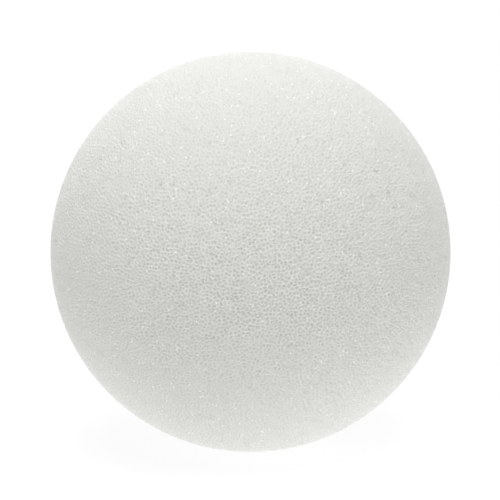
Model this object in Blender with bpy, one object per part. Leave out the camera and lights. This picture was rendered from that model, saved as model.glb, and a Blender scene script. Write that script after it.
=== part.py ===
"""Polystyrene craft ball, 100 mm across, in metres with +Z up and the origin at its centre.

The real ball is one solid piece. It is rough-cut from a block of extruded polystyrene foam
and ground round, so it has no mould seam, no glued halves, no hole and no flat to stand on.
Its surface is a fine web of cut foam cells about a millimetre wide, which is texture and not
form: the solid is the true ball that those cells are cut into.
"""

import bpy

BALL_DIAMETER = 0.100  # the 100 mm (4 in) craft size
FACET_SPLITS = 5  # an icosahedron split this often lies within 0.05 mm of the round ball

FOAM_WHITE = (0.91, 0.91, 0.88, 1.0)  # bare foam, a trace warmer than paper white
FOAM_ROUGHNESS = 0.65  # matt, with a faint shine from the cut cell walls
POLYSTYRENE_IOR = 1.59


def clear_scene():
    for old in list(bpy.data.objects):
        bpy.data.objects.remove(old, do_unlink=True)


def make_collection(name):
    collection = bpy.data.collections.new(name)
    bpy.context.scene.collection.children.link(collection)
    return collection


def foam_material():
    """Bare white extruded foam, unpainted and uncoated."""
    material = bpy.data.materials.new("extruded_polystyrene_foam")
    material.use_nodes = True
    shader = material.node_tree.nodes["Principled BSDF"]
    shader.inputs["Base Color"].default_value = FOAM_WHITE
    shader.inputs["Roughness"].default_value = FOAM_ROUGHNESS
    shader.inputs["Metallic"].default_value = 0.0
    shader.inputs["IOR"].default_value = POLYSTYRENE_IOR
    material.diffuse_color = FOAM_WHITE
    return material


def foam_ball(collection):
    """The ball, on facets of even size, so that it has no poles and rolls alike every way."""
    bpy.ops.mesh.primitive_ico_sphere_add(
        subdivisions=FACET_SPLITS, radius=BALL_DIAMETER / 2, location=(0, 0, 0)
    )
    ball = bpy.context.active_object
    ball.name = "foam_ball"
    ball.data.name = "foam_ball"
    for holder in list(ball.users_collection):
        holder.objects.unlink(ball)
    collection.objects.link(ball)
    ball.data.shade_smooth()
    ball.data.materials.append(foam_material())
    return ball


clear_scene()
foam_ball(make_collection("polystyrene_ball"))
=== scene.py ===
import math

import bpy
import numpy as np
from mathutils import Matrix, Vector, geometry


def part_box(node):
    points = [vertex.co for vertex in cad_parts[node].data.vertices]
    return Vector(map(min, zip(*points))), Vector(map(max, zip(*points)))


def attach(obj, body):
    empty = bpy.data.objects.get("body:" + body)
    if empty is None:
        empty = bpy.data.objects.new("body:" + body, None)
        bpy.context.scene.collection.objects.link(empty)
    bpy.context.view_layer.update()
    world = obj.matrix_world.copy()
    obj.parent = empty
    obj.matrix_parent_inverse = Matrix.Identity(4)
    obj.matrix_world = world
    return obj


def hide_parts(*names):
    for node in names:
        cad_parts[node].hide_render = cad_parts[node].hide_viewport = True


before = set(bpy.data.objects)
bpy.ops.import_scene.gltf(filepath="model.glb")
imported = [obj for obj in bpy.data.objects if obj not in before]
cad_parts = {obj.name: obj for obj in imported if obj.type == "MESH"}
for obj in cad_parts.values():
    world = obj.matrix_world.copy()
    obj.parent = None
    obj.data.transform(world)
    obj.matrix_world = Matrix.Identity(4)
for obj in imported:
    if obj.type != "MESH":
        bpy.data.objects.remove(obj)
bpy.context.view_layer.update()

# The foam ball: one lump of extruded polystyrene foam, cut from a block and ground round, with
# nothing inside and no seam. Grinding opens each foam cell that it meets, so the skin is a net
# of torn cell walls with a shallow pit inside each loop.
low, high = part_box("foam_ball")
BALL_CENTRE = np.array((low + high) / 2)
BALL_RADIUS = (high.z - low.z) / 2
MM_IN_METRE = 1000

CELL_WIDTH = 0.000967  # metres from a cell's middle to the next one's, where they are cut across
DRAW = 1.35  # how much longer than wide the cells are, drawn out from the ball's front to its back
SLICES = 2001  # heights along the ball at which the crowding of its cells is worked out
END_CELL = (0, 0, 1)  # where the last cell's middle stays, at one end of the ball
CELL_SCATTER = 0.40  # how far the other middles stray from even spacing, in cell widths
SETTLING_ROUNDS = 1  # each round draws the middles in between their neighbours, as bubbles do
WHOLE_MAP = 0  # asks for a net over the whole flat map, out to its convex edge
SAME_SPOT = 1e-12  # middles closer than this on the flat map would count as one
TORN_EDGE = 0.00005  # metres that a wall's torn edge may lie under the round
PIT_DEPTH = (0.28, 0.45)  # the shallowest and the deepest pits, in cell widths
DEEPEST_PIT = 0.0005  # metres under the round, however wide the cell
PIT_DRIFT = 0.5  # how far a pit's lowest point strays, as a share of the way to the nearest wall
PAINTED_GLINT_SHARE = 0.022  # the share of wall corners that get a painted glint, a white dot where a curled shred would catch the light

rng = np.random.default_rng(625)


def unit(vectors):
    return vectors / np.linalg.norm(vectors, axis=1, keepdims=True)


def spread_points():
    """Middles for the cells, along a golden-angle spiral on a ball of radius 1. They lie closer
    at its two ends, where drawn-out cells are cut across, than at its waist."""
    height = np.linspace(-1, 1, SLICES)
    crowding = np.sqrt(height**2 + (1 - height**2) / DRAW**2)
    cells_below = np.cumsum(crowding) - crowding / 2
    cell_area = CELL_WIDTH**2 * math.sqrt(3) / 2
    count = round(4 * math.pi * BALL_RADIUS**2 / cell_area * crowding.mean())
    step = np.arange(count) + 0.5
    height = np.interp(step / count, cells_below / crowding.sum(), height)
    turn = step * math.pi * (3 - math.sqrt(5))
    reach = np.sqrt(1 - height**2)
    return unit(np.column_stack([reach * np.cos(turn), reach * np.sin(turn), height / DRAW]))


def neighbour_net(middles):
    """Triangles that join each cell's middle to its neighbours'. The last middle is one end of
    the ball: seen from it, the others lie on a flat map, whose outer edge it closes."""
    last = len(middles) - 1
    flat_map = middles[:last, :2] / (1 - middles[:last, 2:])
    spots = [Vector(spot) for spot in flat_map]
    faces = geometry.delaunay_2d_cdt(spots, [], [], WHOLE_MAP, SAME_SPOT, False)[2]
    net = np.array(faces)[:, ::-1]
    sides = np.concatenate([net[:, [0, 1]], net[:, [1, 2]], net[:, [2, 0]]])
    there = sides[:, 0] * len(middles) + sides[:, 1]
    back = sides[:, 1] * len(middles) + sides[:, 0]
    outer = sides[~np.isin(back, there)]
    closing = np.column_stack([outer[:, 1], outer[:, 0], np.full(len(outer), last)])
    return np.concatenate([net, closing])


def cell_walls(middles):
    """The corners where three walls meet, and for each side of each wall: its cell and the
    corners that it runs between."""
    net = neighbour_net(middles)
    a, b, c = middles[net[:, 0]], middles[net[:, 1]], middles[net[:, 2]]
    corners = unit(np.cross(b - a, c - a))
    near = net.T.ravel()
    far = net[:, [1, 2, 0]].T.ravel()
    left = np.tile(np.arange(len(net)), 3)
    right = np.empty_like(left)
    right[np.argsort(near * len(middles) + far)] = left[np.argsort(far * len(middles) + near)]
    return corners, near, right, left


def settled(middles):
    """The middles, each moved to the centre of the area inside its cell's walls."""
    corners, cell, start, end = cell_walls(middles)
    slice_area = np.linalg.norm(
        np.cross(corners[start] - middles[cell], corners[end] - middles[cell]), axis=1
    )
    slice_centre = (corners[start] + corners[end] + middles[cell]) / 3
    moved = np.zeros_like(middles)
    np.add.at(moved, cell, slice_area[:, None] * slice_centre)
    moved[-1] = END_CELL
    return unit(moved)


def drawn_out(points):
    """Points of the net of round cells, where they lie on the ball of drawn-out cells."""
    along_y = points[:, [0, 2, 1]] * (1, -DRAW, 1)
    return unit(along_y)


middles = spread_points()
middles = unit(middles + rng.normal(0, CELL_SCATTER * CELL_WIDTH / BALL_RADIUS, middles.shape))
middles[-1] = END_CELL
for _ in range(SETTLING_ROUNDS):
    middles = settled(middles)
corners, cell, start, end = cell_walls(middles)
cell_count = len(middles)
corners, middles = drawn_out(corners), drawn_out(middles)

# The wider a cell, the deeper its pit, and the pit's lowest point strays from the cell's middle.
reach = np.linalg.norm(corners[start] - middles[cell], axis=1)
cell_width = 2 * BALL_RADIUS * np.bincount(cell, reach) / np.bincount(cell)
torn = TORN_EDGE * rng.random(len(corners))
end_on = np.sqrt(1 + (DRAW**2 - 1) * middles[:, 1] ** 2) / DRAW
depth = cell_width * rng.uniform(*PIT_DEPTH, cell_count) * end_on
depth = np.minimum(depth, DEEPEST_PIT)

along = unit(corners[end] - corners[start])
to_middle = middles[cell] - corners[start]
off_middle = np.linalg.norm(np.cross(along, to_middle), axis=1) * BALL_RADIUS
nearest_wall = np.full(cell_count, BALL_RADIUS)
np.minimum.at(nearest_wall, cell, off_middle)
drift = rng.uniform(-PIT_DRIFT, PIT_DRIFT, (cell_count, 3)) * nearest_wall[:, None]
drift -= middles * (drift * middles).sum(axis=1, keepdims=True)

wall_tops = corners * (BALL_RADIUS - torn)[:, None]
pits = middles * (BALL_RADIUS - depth)[:, None] + drift
points = np.concatenate([wall_tops, pits]) + BALL_CENTRE
triangles = np.column_stack([cell + len(wall_tops), start, end])
mesh = bpy.data.meshes.new("cut_foam_ball")
mesh.from_pydata(points, [], triangles)
mesh.shade_smooth()


def add_attribute(name, kind, domain, values):
    """Stores one value for each point, edge, face or face corner of the ball's mesh."""
    mesh.attributes.new(name, kind, domain).data.foreach_set("value", np.ravel(values))


# The walls' crests stay sharp, and the pits are rounded.
edge_ends = np.zeros(len(mesh.edges) * 2, np.int32)
mesh.edges.foreach_get("vertices", edge_ends)
along_wall = (edge_ends.reshape(-1, 2) < len(wall_tops)).all(axis=1)
add_attribute("sharp_edge", "BOOLEAN", "EDGE", along_wall)

# Painted glints: a few wall corners are marked for a white dot, painted where a curled shred of
# wall would catch the light.
painted_glint = np.zeros(len(points), np.float32)
painted_glint[: len(corners)] = rng.random(len(corners)) < PAINTED_GLINT_SHARE
add_attribute("painted_glint", "FLOAT", "POINT", painted_glint)

wall = unit(wall_tops[end] - wall_tops[start])
to_pit = pits[cell] - wall_tops[start]
off_wall = to_pit - wall * (to_pit * wall).sum(axis=1, keepdims=True)
from_wall = np.zeros((len(triangles), 3), np.float32)
from_wall[:, 0] = np.linalg.norm(off_wall, axis=1) * MM_IN_METRE
add_attribute("from_wall_mm", "FLOAT", "CORNER", from_wall)

ball = bpy.data.objects.new("cut_foam_ball", mesh)
bpy.context.scene.collection.objects.link(ball)

MAP_FILL = 0.97  # the share of its square's width that each map of the skin takes up


def lay_out_skin():
    """Lays the skin out flat for texture images, as the six faces of a cube blown up round. A
    pit goes onto the map of one face as a whole, and a gap is left between the maps."""
    axis = np.abs(middles).argmax(axis=1)[cell]
    side = np.sign(middles[cell, axis])
    chart = np.stack([axis, (axis + 1) % 3, (axis + 2) % 3])
    spots = unit(np.concatenate([wall_tops, pits]))[triangles]
    faces = np.arange(len(triangles))
    out, across, up = (spots[faces, :, part] for part in chart)
    across = np.arctan(across / out) / (math.pi / 4) * MAP_FILL
    up = np.arctan(up / np.abs(out)) / (math.pi / 4) * MAP_FILL
    column = axis[:, None] + 0.5 + across / 2
    row = (side[:, None] + 1) / 2 + 0.5 + up / 2
    skin_map = mesh.uv_layers.new(name="OFBake")
    skin_map.data.foreach_set("uv", np.stack([column / 3, row / 2], axis=2).ravel())


lay_out_skin()


def linear(hex_colour):
    """An sRGB hex colour as linear light."""
    parts = [int(hex_colour[i : i + 2], 16) / 255 for i in (1, 3, 5)]
    light = [p / 12.92 if p <= 0.04045 else ((p + 0.055) / 1.055) ** 2.4 for p in parts]
    return (*light, 1.0)


def add_node(tree, kind, links=None, **settings):
    """Adds a node. Links name an input and either the socket that feeds it or its value."""
    node = tree.nodes.new(kind)
    for name, value in settings.items():
        setattr(node, name, value)
    for name, source in (links or {}).items():
        if isinstance(source, bpy.types.NodeSocket):
            tree.links.new(source, node.inputs[name])
        else:
            node.inputs[name].default_value = source
    return node


# Cut extruded polystyrene: a clear plastic blown into bubbles whose walls are so thin, and so
# many, that it looks white. Light goes about a millimetre into it, so the pits stay pale. The
# torn walls stand up, and their crests are painted as thin bright lines, partly their own whiter
# film and partly a painted highlight where the crests catch the light. The film in the pits is
# mottled, and here and there a wall corner gets a painted glint: a bright white dot where a
# curled shred of wall would catch the light.
FILM_DARK = "#DFDFDB"
FILM_LIGHT = "#E6E6E2"
FILM_BIT = 0.25  # mm across the bits of film that differ, drawn coarser than real so they show
# The crests' white: partly the walls' own whiter film, partly a painted highlight where they catch
# the light.
WALL_WHITE_AND_HIGHLIGHT = "#E9E9E5"
WALL_LINE = 0.10  # mm from a wall's crest to where its line has faded, wider than real to show
LINE_SHARE = (0.2, 1.0)  # the faintest and the strongest stretches of the walls' lines
TEAR = 0.5  # mm along a wall between faint and strong stretches
TEAR_NOISE = (0.35, 0.65)  # the noise where a stretch is at its faintest and at its strongest
# The white of the painted glints, dots that stand in for light caught by curled shreds of wall.
PAINTED_GLINT_WHITE = "#FFFFFB"
PAINTED_GLINT_EDGE = (0.52, 0.6)  # a painted glint fades out here, from 1 at its middle to 0 a cell's side away
FOAM_ROUGHNESS = 0.75
FOAM_GLOSS = 0.2  # torn edges scatter most of the shine that an unbroken skin would have
LIGHT_DEPTH = 0.001  # metres that light goes into the foam
POLYSTYRENE_IOR = 1.59
SHARE, COLOUR_A, COLOUR_B, MIXED = 0, 6, 7, 2  # a Mix node's sockets when it mixes colours

foam = bpy.data.materials.new("cut_extruded_polystyrene")
foam.use_nodes = True
tree = foam.node_tree
shader = tree.nodes["Principled BSDF"]
shader.inputs["Roughness"].default_value = FOAM_ROUGHNESS
shader.inputs["Specular IOR Level"].default_value = FOAM_GLOSS
shader.inputs["IOR"].default_value = POLYSTYRENE_IOR
shader.inputs["Subsurface Weight"].default_value = 1.0
shader.inputs["Subsurface Radius"].default_value = (1.0, 1.0, 1.0)
shader.inputs["Subsurface Scale"].default_value = LIGHT_DEPTH

place = add_node(tree, "ShaderNodeTexCoord")
round_cells = add_node(
    tree,
    "ShaderNodeMapping",
    {"Vector": place.outputs["Object"], "Scale": (MM_IN_METRE, MM_IN_METRE / DRAW, MM_IN_METRE)},
)

film_bits = add_node(
    tree,
    "ShaderNodeTexVoronoi",
    {"Vector": round_cells.outputs["Vector"], "Scale": 1 / FILM_BIT},
)
bit_chance = add_node(tree, "ShaderNodeSeparateColor", {"Color": film_bits.outputs["Color"]})
film = add_node(
    tree,
    "ShaderNodeMix",
    {
        SHARE: bit_chance.outputs["Red"],
        COLOUR_A: linear(FILM_DARK),
        COLOUR_B: linear(FILM_LIGHT),
    },
    data_type="RGBA",
)

tears = add_node(
    tree,
    "ShaderNodeTexNoise",
    {"Vector": round_cells.outputs["Vector"], "Scale": 1 / TEAR, "Detail": 1.0},
)
line_share = add_node(
    tree,
    "ShaderNodeMapRange",
    {
        "Value": tears.outputs["Fac"],
        "From Min": TEAR_NOISE[0],
        "From Max": TEAR_NOISE[1],
        "To Min": LINE_SHARE[0],
        "To Max": LINE_SHARE[1],
    },
)
# The walls' crests are painted brighter, partly their own film and partly a painted highlight.
from_wall_node = add_node(tree, "ShaderNodeAttribute", attribute_name="from_wall_mm")
line = add_node(
    tree,
    "ShaderNodeMapRange",
    {
        "Value": from_wall_node.outputs["Fac"],
        "From Max": WALL_LINE,
        "To Min": line_share.outputs["Result"],
        "To Max": 0.0,
    },
)
lined = add_node(
    tree,
    "ShaderNodeMix",
    {SHARE: line.outputs["Result"], COLOUR_A: film.outputs[MIXED], COLOUR_B: linear(WALL_WHITE_AND_HIGHLIGHT)},
    data_type="RGBA",
)

# A white dot is painted at each marked corner, a painted glint.
painted_glint_node = add_node(tree, "ShaderNodeAttribute", attribute_name="painted_glint")
painted_glint_share = add_node(
    tree,
    "ShaderNodeMapRange",
    {"Value": painted_glint_node.outputs["Fac"], "From Min": PAINTED_GLINT_EDGE[0], "From Max": PAINTED_GLINT_EDGE[1]},
)
colour = add_node(
    tree,
    "ShaderNodeMix",
    {
        SHARE: painted_glint_share.outputs["Result"],
        COLOUR_A: lined.outputs[MIXED],
        COLOUR_B: linear(PAINTED_GLINT_WHITE),
    },
    data_type="RGBA",
)
tree.links.new(colour.outputs[MIXED], shader.inputs["Base Color"])
mesh.materials.append(foam)

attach(ball, "root")
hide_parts("foam_ball")

# The table: a sheet of white acrylic lit from below, as a photographer's shooting table is, so
# that it stays white right up to the ball, whose underside is never black. Its glow is painted
# brighter in a pool to the right and in front, painted light that stands in for a lamp under it
# there, so the ball is a little brighter low on that side.
TABLE_REACH = 6.0  # metres from the ball to each edge
TABLE_GREY = 0.12  # the share of light that it sends back, low so that the shadow stays faint
TABLE_ROUGHNESS = 0.9
TABLE_GLOW = 0.90
PAINTED_POOL_GLOW = 1.08  # at the middle of the painted pool of glow
PAINTED_POOL_SPOT = (0.11, -0.08, 0.0)  # metres to the painted pool's middle, right of the ball and in front of it
PAINTED_POOL_SPREAD = 0.15  # metres from there to where the table's own glow is left

bpy.ops.mesh.primitive_plane_add(size=2 * TABLE_REACH, location=(0, 0, low.z))
table = bpy.context.active_object
table.name = table.data.name = "white_table"
acrylic = bpy.data.materials.new("white_acrylic")
acrylic.use_nodes = True
table_tree = acrylic.node_tree
surface = table_tree.nodes["Principled BSDF"]
surface.inputs["Base Color"].default_value = (TABLE_GREY, TABLE_GREY, TABLE_GREY, 1.0)
surface.inputs["Roughness"].default_value = TABLE_ROUGHNESS
surface.inputs["Specular IOR Level"].default_value = 0.0
surface.inputs["Emission Color"].default_value = (1.0, 1.0, 1.0, 1.0)
table_place = add_node(table_tree, "ShaderNodeTexCoord")
from_painted_pool = add_node(
    table_tree,
    "ShaderNodeVectorMath",
    {0: table_place.outputs["Object"], 1: PAINTED_POOL_SPOT},
    operation="DISTANCE",
)
# The glow is painted brighter in a pool around that spot, painted light standing in for a lamp
# under the table.
glow = add_node(
    table_tree,
    "ShaderNodeMapRange",
    {
        "Value": from_painted_pool.outputs["Value"],
        "From Max": PAINTED_POOL_SPREAD,
        "To Min": PAINTED_POOL_GLOW,
        "To Max": TABLE_GLOW,
    },
    interpolation_type="SMOOTHSTEP",
)
table_tree.links.new(glow.outputs["Result"], surface.inputs["Emission Strength"])
table.data.materials.append(acrylic)

# The light: a dim studio with pale walls, and soft lamps far enough away to light the whole
# table alike. The main one hangs overhead, a little to the front, so that it rakes across the
# ball's front. One behind it evens out the top, and two lower ones fill in the flanks.
WALL_BRIGHTNESS = 0.4  # past the edge of the table, all round
WALL_FADE = (9, 12)  # degrees up, where the pale wall gives way to the dim ceiling
CEILING_BRIGHTNESS = 0.05

room = bpy.data.worlds.new("studio_room")
bpy.context.scene.world = room
room.use_nodes = True
room_tree = room.node_tree
direction = add_node(room_tree, "ShaderNodeTexCoord")
direction_parts = add_node(
    room_tree, "ShaderNodeSeparateXYZ", {"Vector": direction.outputs["Generated"]}
)
room_brightness = add_node(
    room_tree,
    "ShaderNodeMapRange",
    {
        "Value": direction_parts.outputs["Z"],
        "From Min": math.sin(math.radians(WALL_FADE[0])),
        "From Max": math.sin(math.radians(WALL_FADE[1])),
        "To Min": WALL_BRIGHTNESS,
        "To Max": CEILING_BRIGHTNESS,
    },
)
air = room_tree.nodes["Background"]
air.inputs["Color"].default_value = (1.0, 1.0, 1.0, 1.0)
room_tree.links.new(room_brightness.outputs["Result"], air.inputs["Strength"])
bpy.context.scene.view_settings.view_transform = "Standard"


def soft_lamp(name, azimuth, elevation, spread, brightness):
    """A far round white lamp. Azimuth 0 is in front of the ball and 90 to its right, spread is
    the angle across the lamp, and brightness 1 makes white paper that faces it just white."""
    data = bpy.data.lights.new(name, "SUN")
    data.angle = math.radians(spread)
    data.energy = brightness * math.pi
    lamp = bpy.data.objects.new(name, data)
    turn, lift = math.radians(azimuth), math.radians(elevation)
    out = math.cos(lift)
    towards = Vector((math.sin(turn) * out, -math.cos(turn) * out, math.sin(lift)))
    lamp.rotation_mode = "QUATERNION"
    lamp.rotation_quaternion = towards.to_track_quat("Z", "Y")
    lamp.location = towards
    bpy.context.scene.collection.objects.link(lamp)


soft_lamp("front_overhead", 0, 70, 38, 0.70)
soft_lamp("back_overhead", 180, 65, 50, 0.33)
soft_lamp("left_fill", -70, 35, 30, 0.09)
soft_lamp("right_fill", 60, 5, 30, 0.07)

# The camera: it stands a little above the middle of the ball, as the photograph's did, with a
# long lens, and is turned a hair so that the ball falls just where the photograph has it.
PHOTO_SIDE = 500  # pixels
DISC_MIDDLE = (250.52, 251.96)  # pixels from the photograph's left and upper edges
DISC_RADIUS = 200.23  # pixels
CAMERA_DISTANCE = 0.60  # metres from the ball's middle
CAMERA_ELEVATION = math.radians(9)
SENSOR_WIDTH = 36.0  # mm

lens_pixels = DISC_RADIUS / math.tan(math.asin(BALL_RADIUS / CAMERA_DISTANCE))
camera_data = bpy.data.cameras.new("camera")
camera_data.sensor_width = SENSOR_WIDTH
camera_data.lens = lens_pixels / PHOTO_SIDE * SENSOR_WIDTH
camera = bpy.data.objects.new("camera", camera_data)
bpy.context.scene.collection.objects.link(camera)
away = Vector((0, -math.cos(CAMERA_ELEVATION), math.sin(CAMERA_ELEVATION)))
camera.location = Vector(BALL_CENTRE) + away * CAMERA_DISTANCE
left_turn = (DISC_MIDDLE[0] - PHOTO_SIDE / 2) / lens_pixels
up_turn = (DISC_MIDDLE[1] - PHOTO_SIDE / 2) / lens_pixels
camera.rotation_euler = (math.pi / 2 - CAMERA_ELEVATION + up_turn, 0, left_turn)
bpy.context.scene.camera = camera
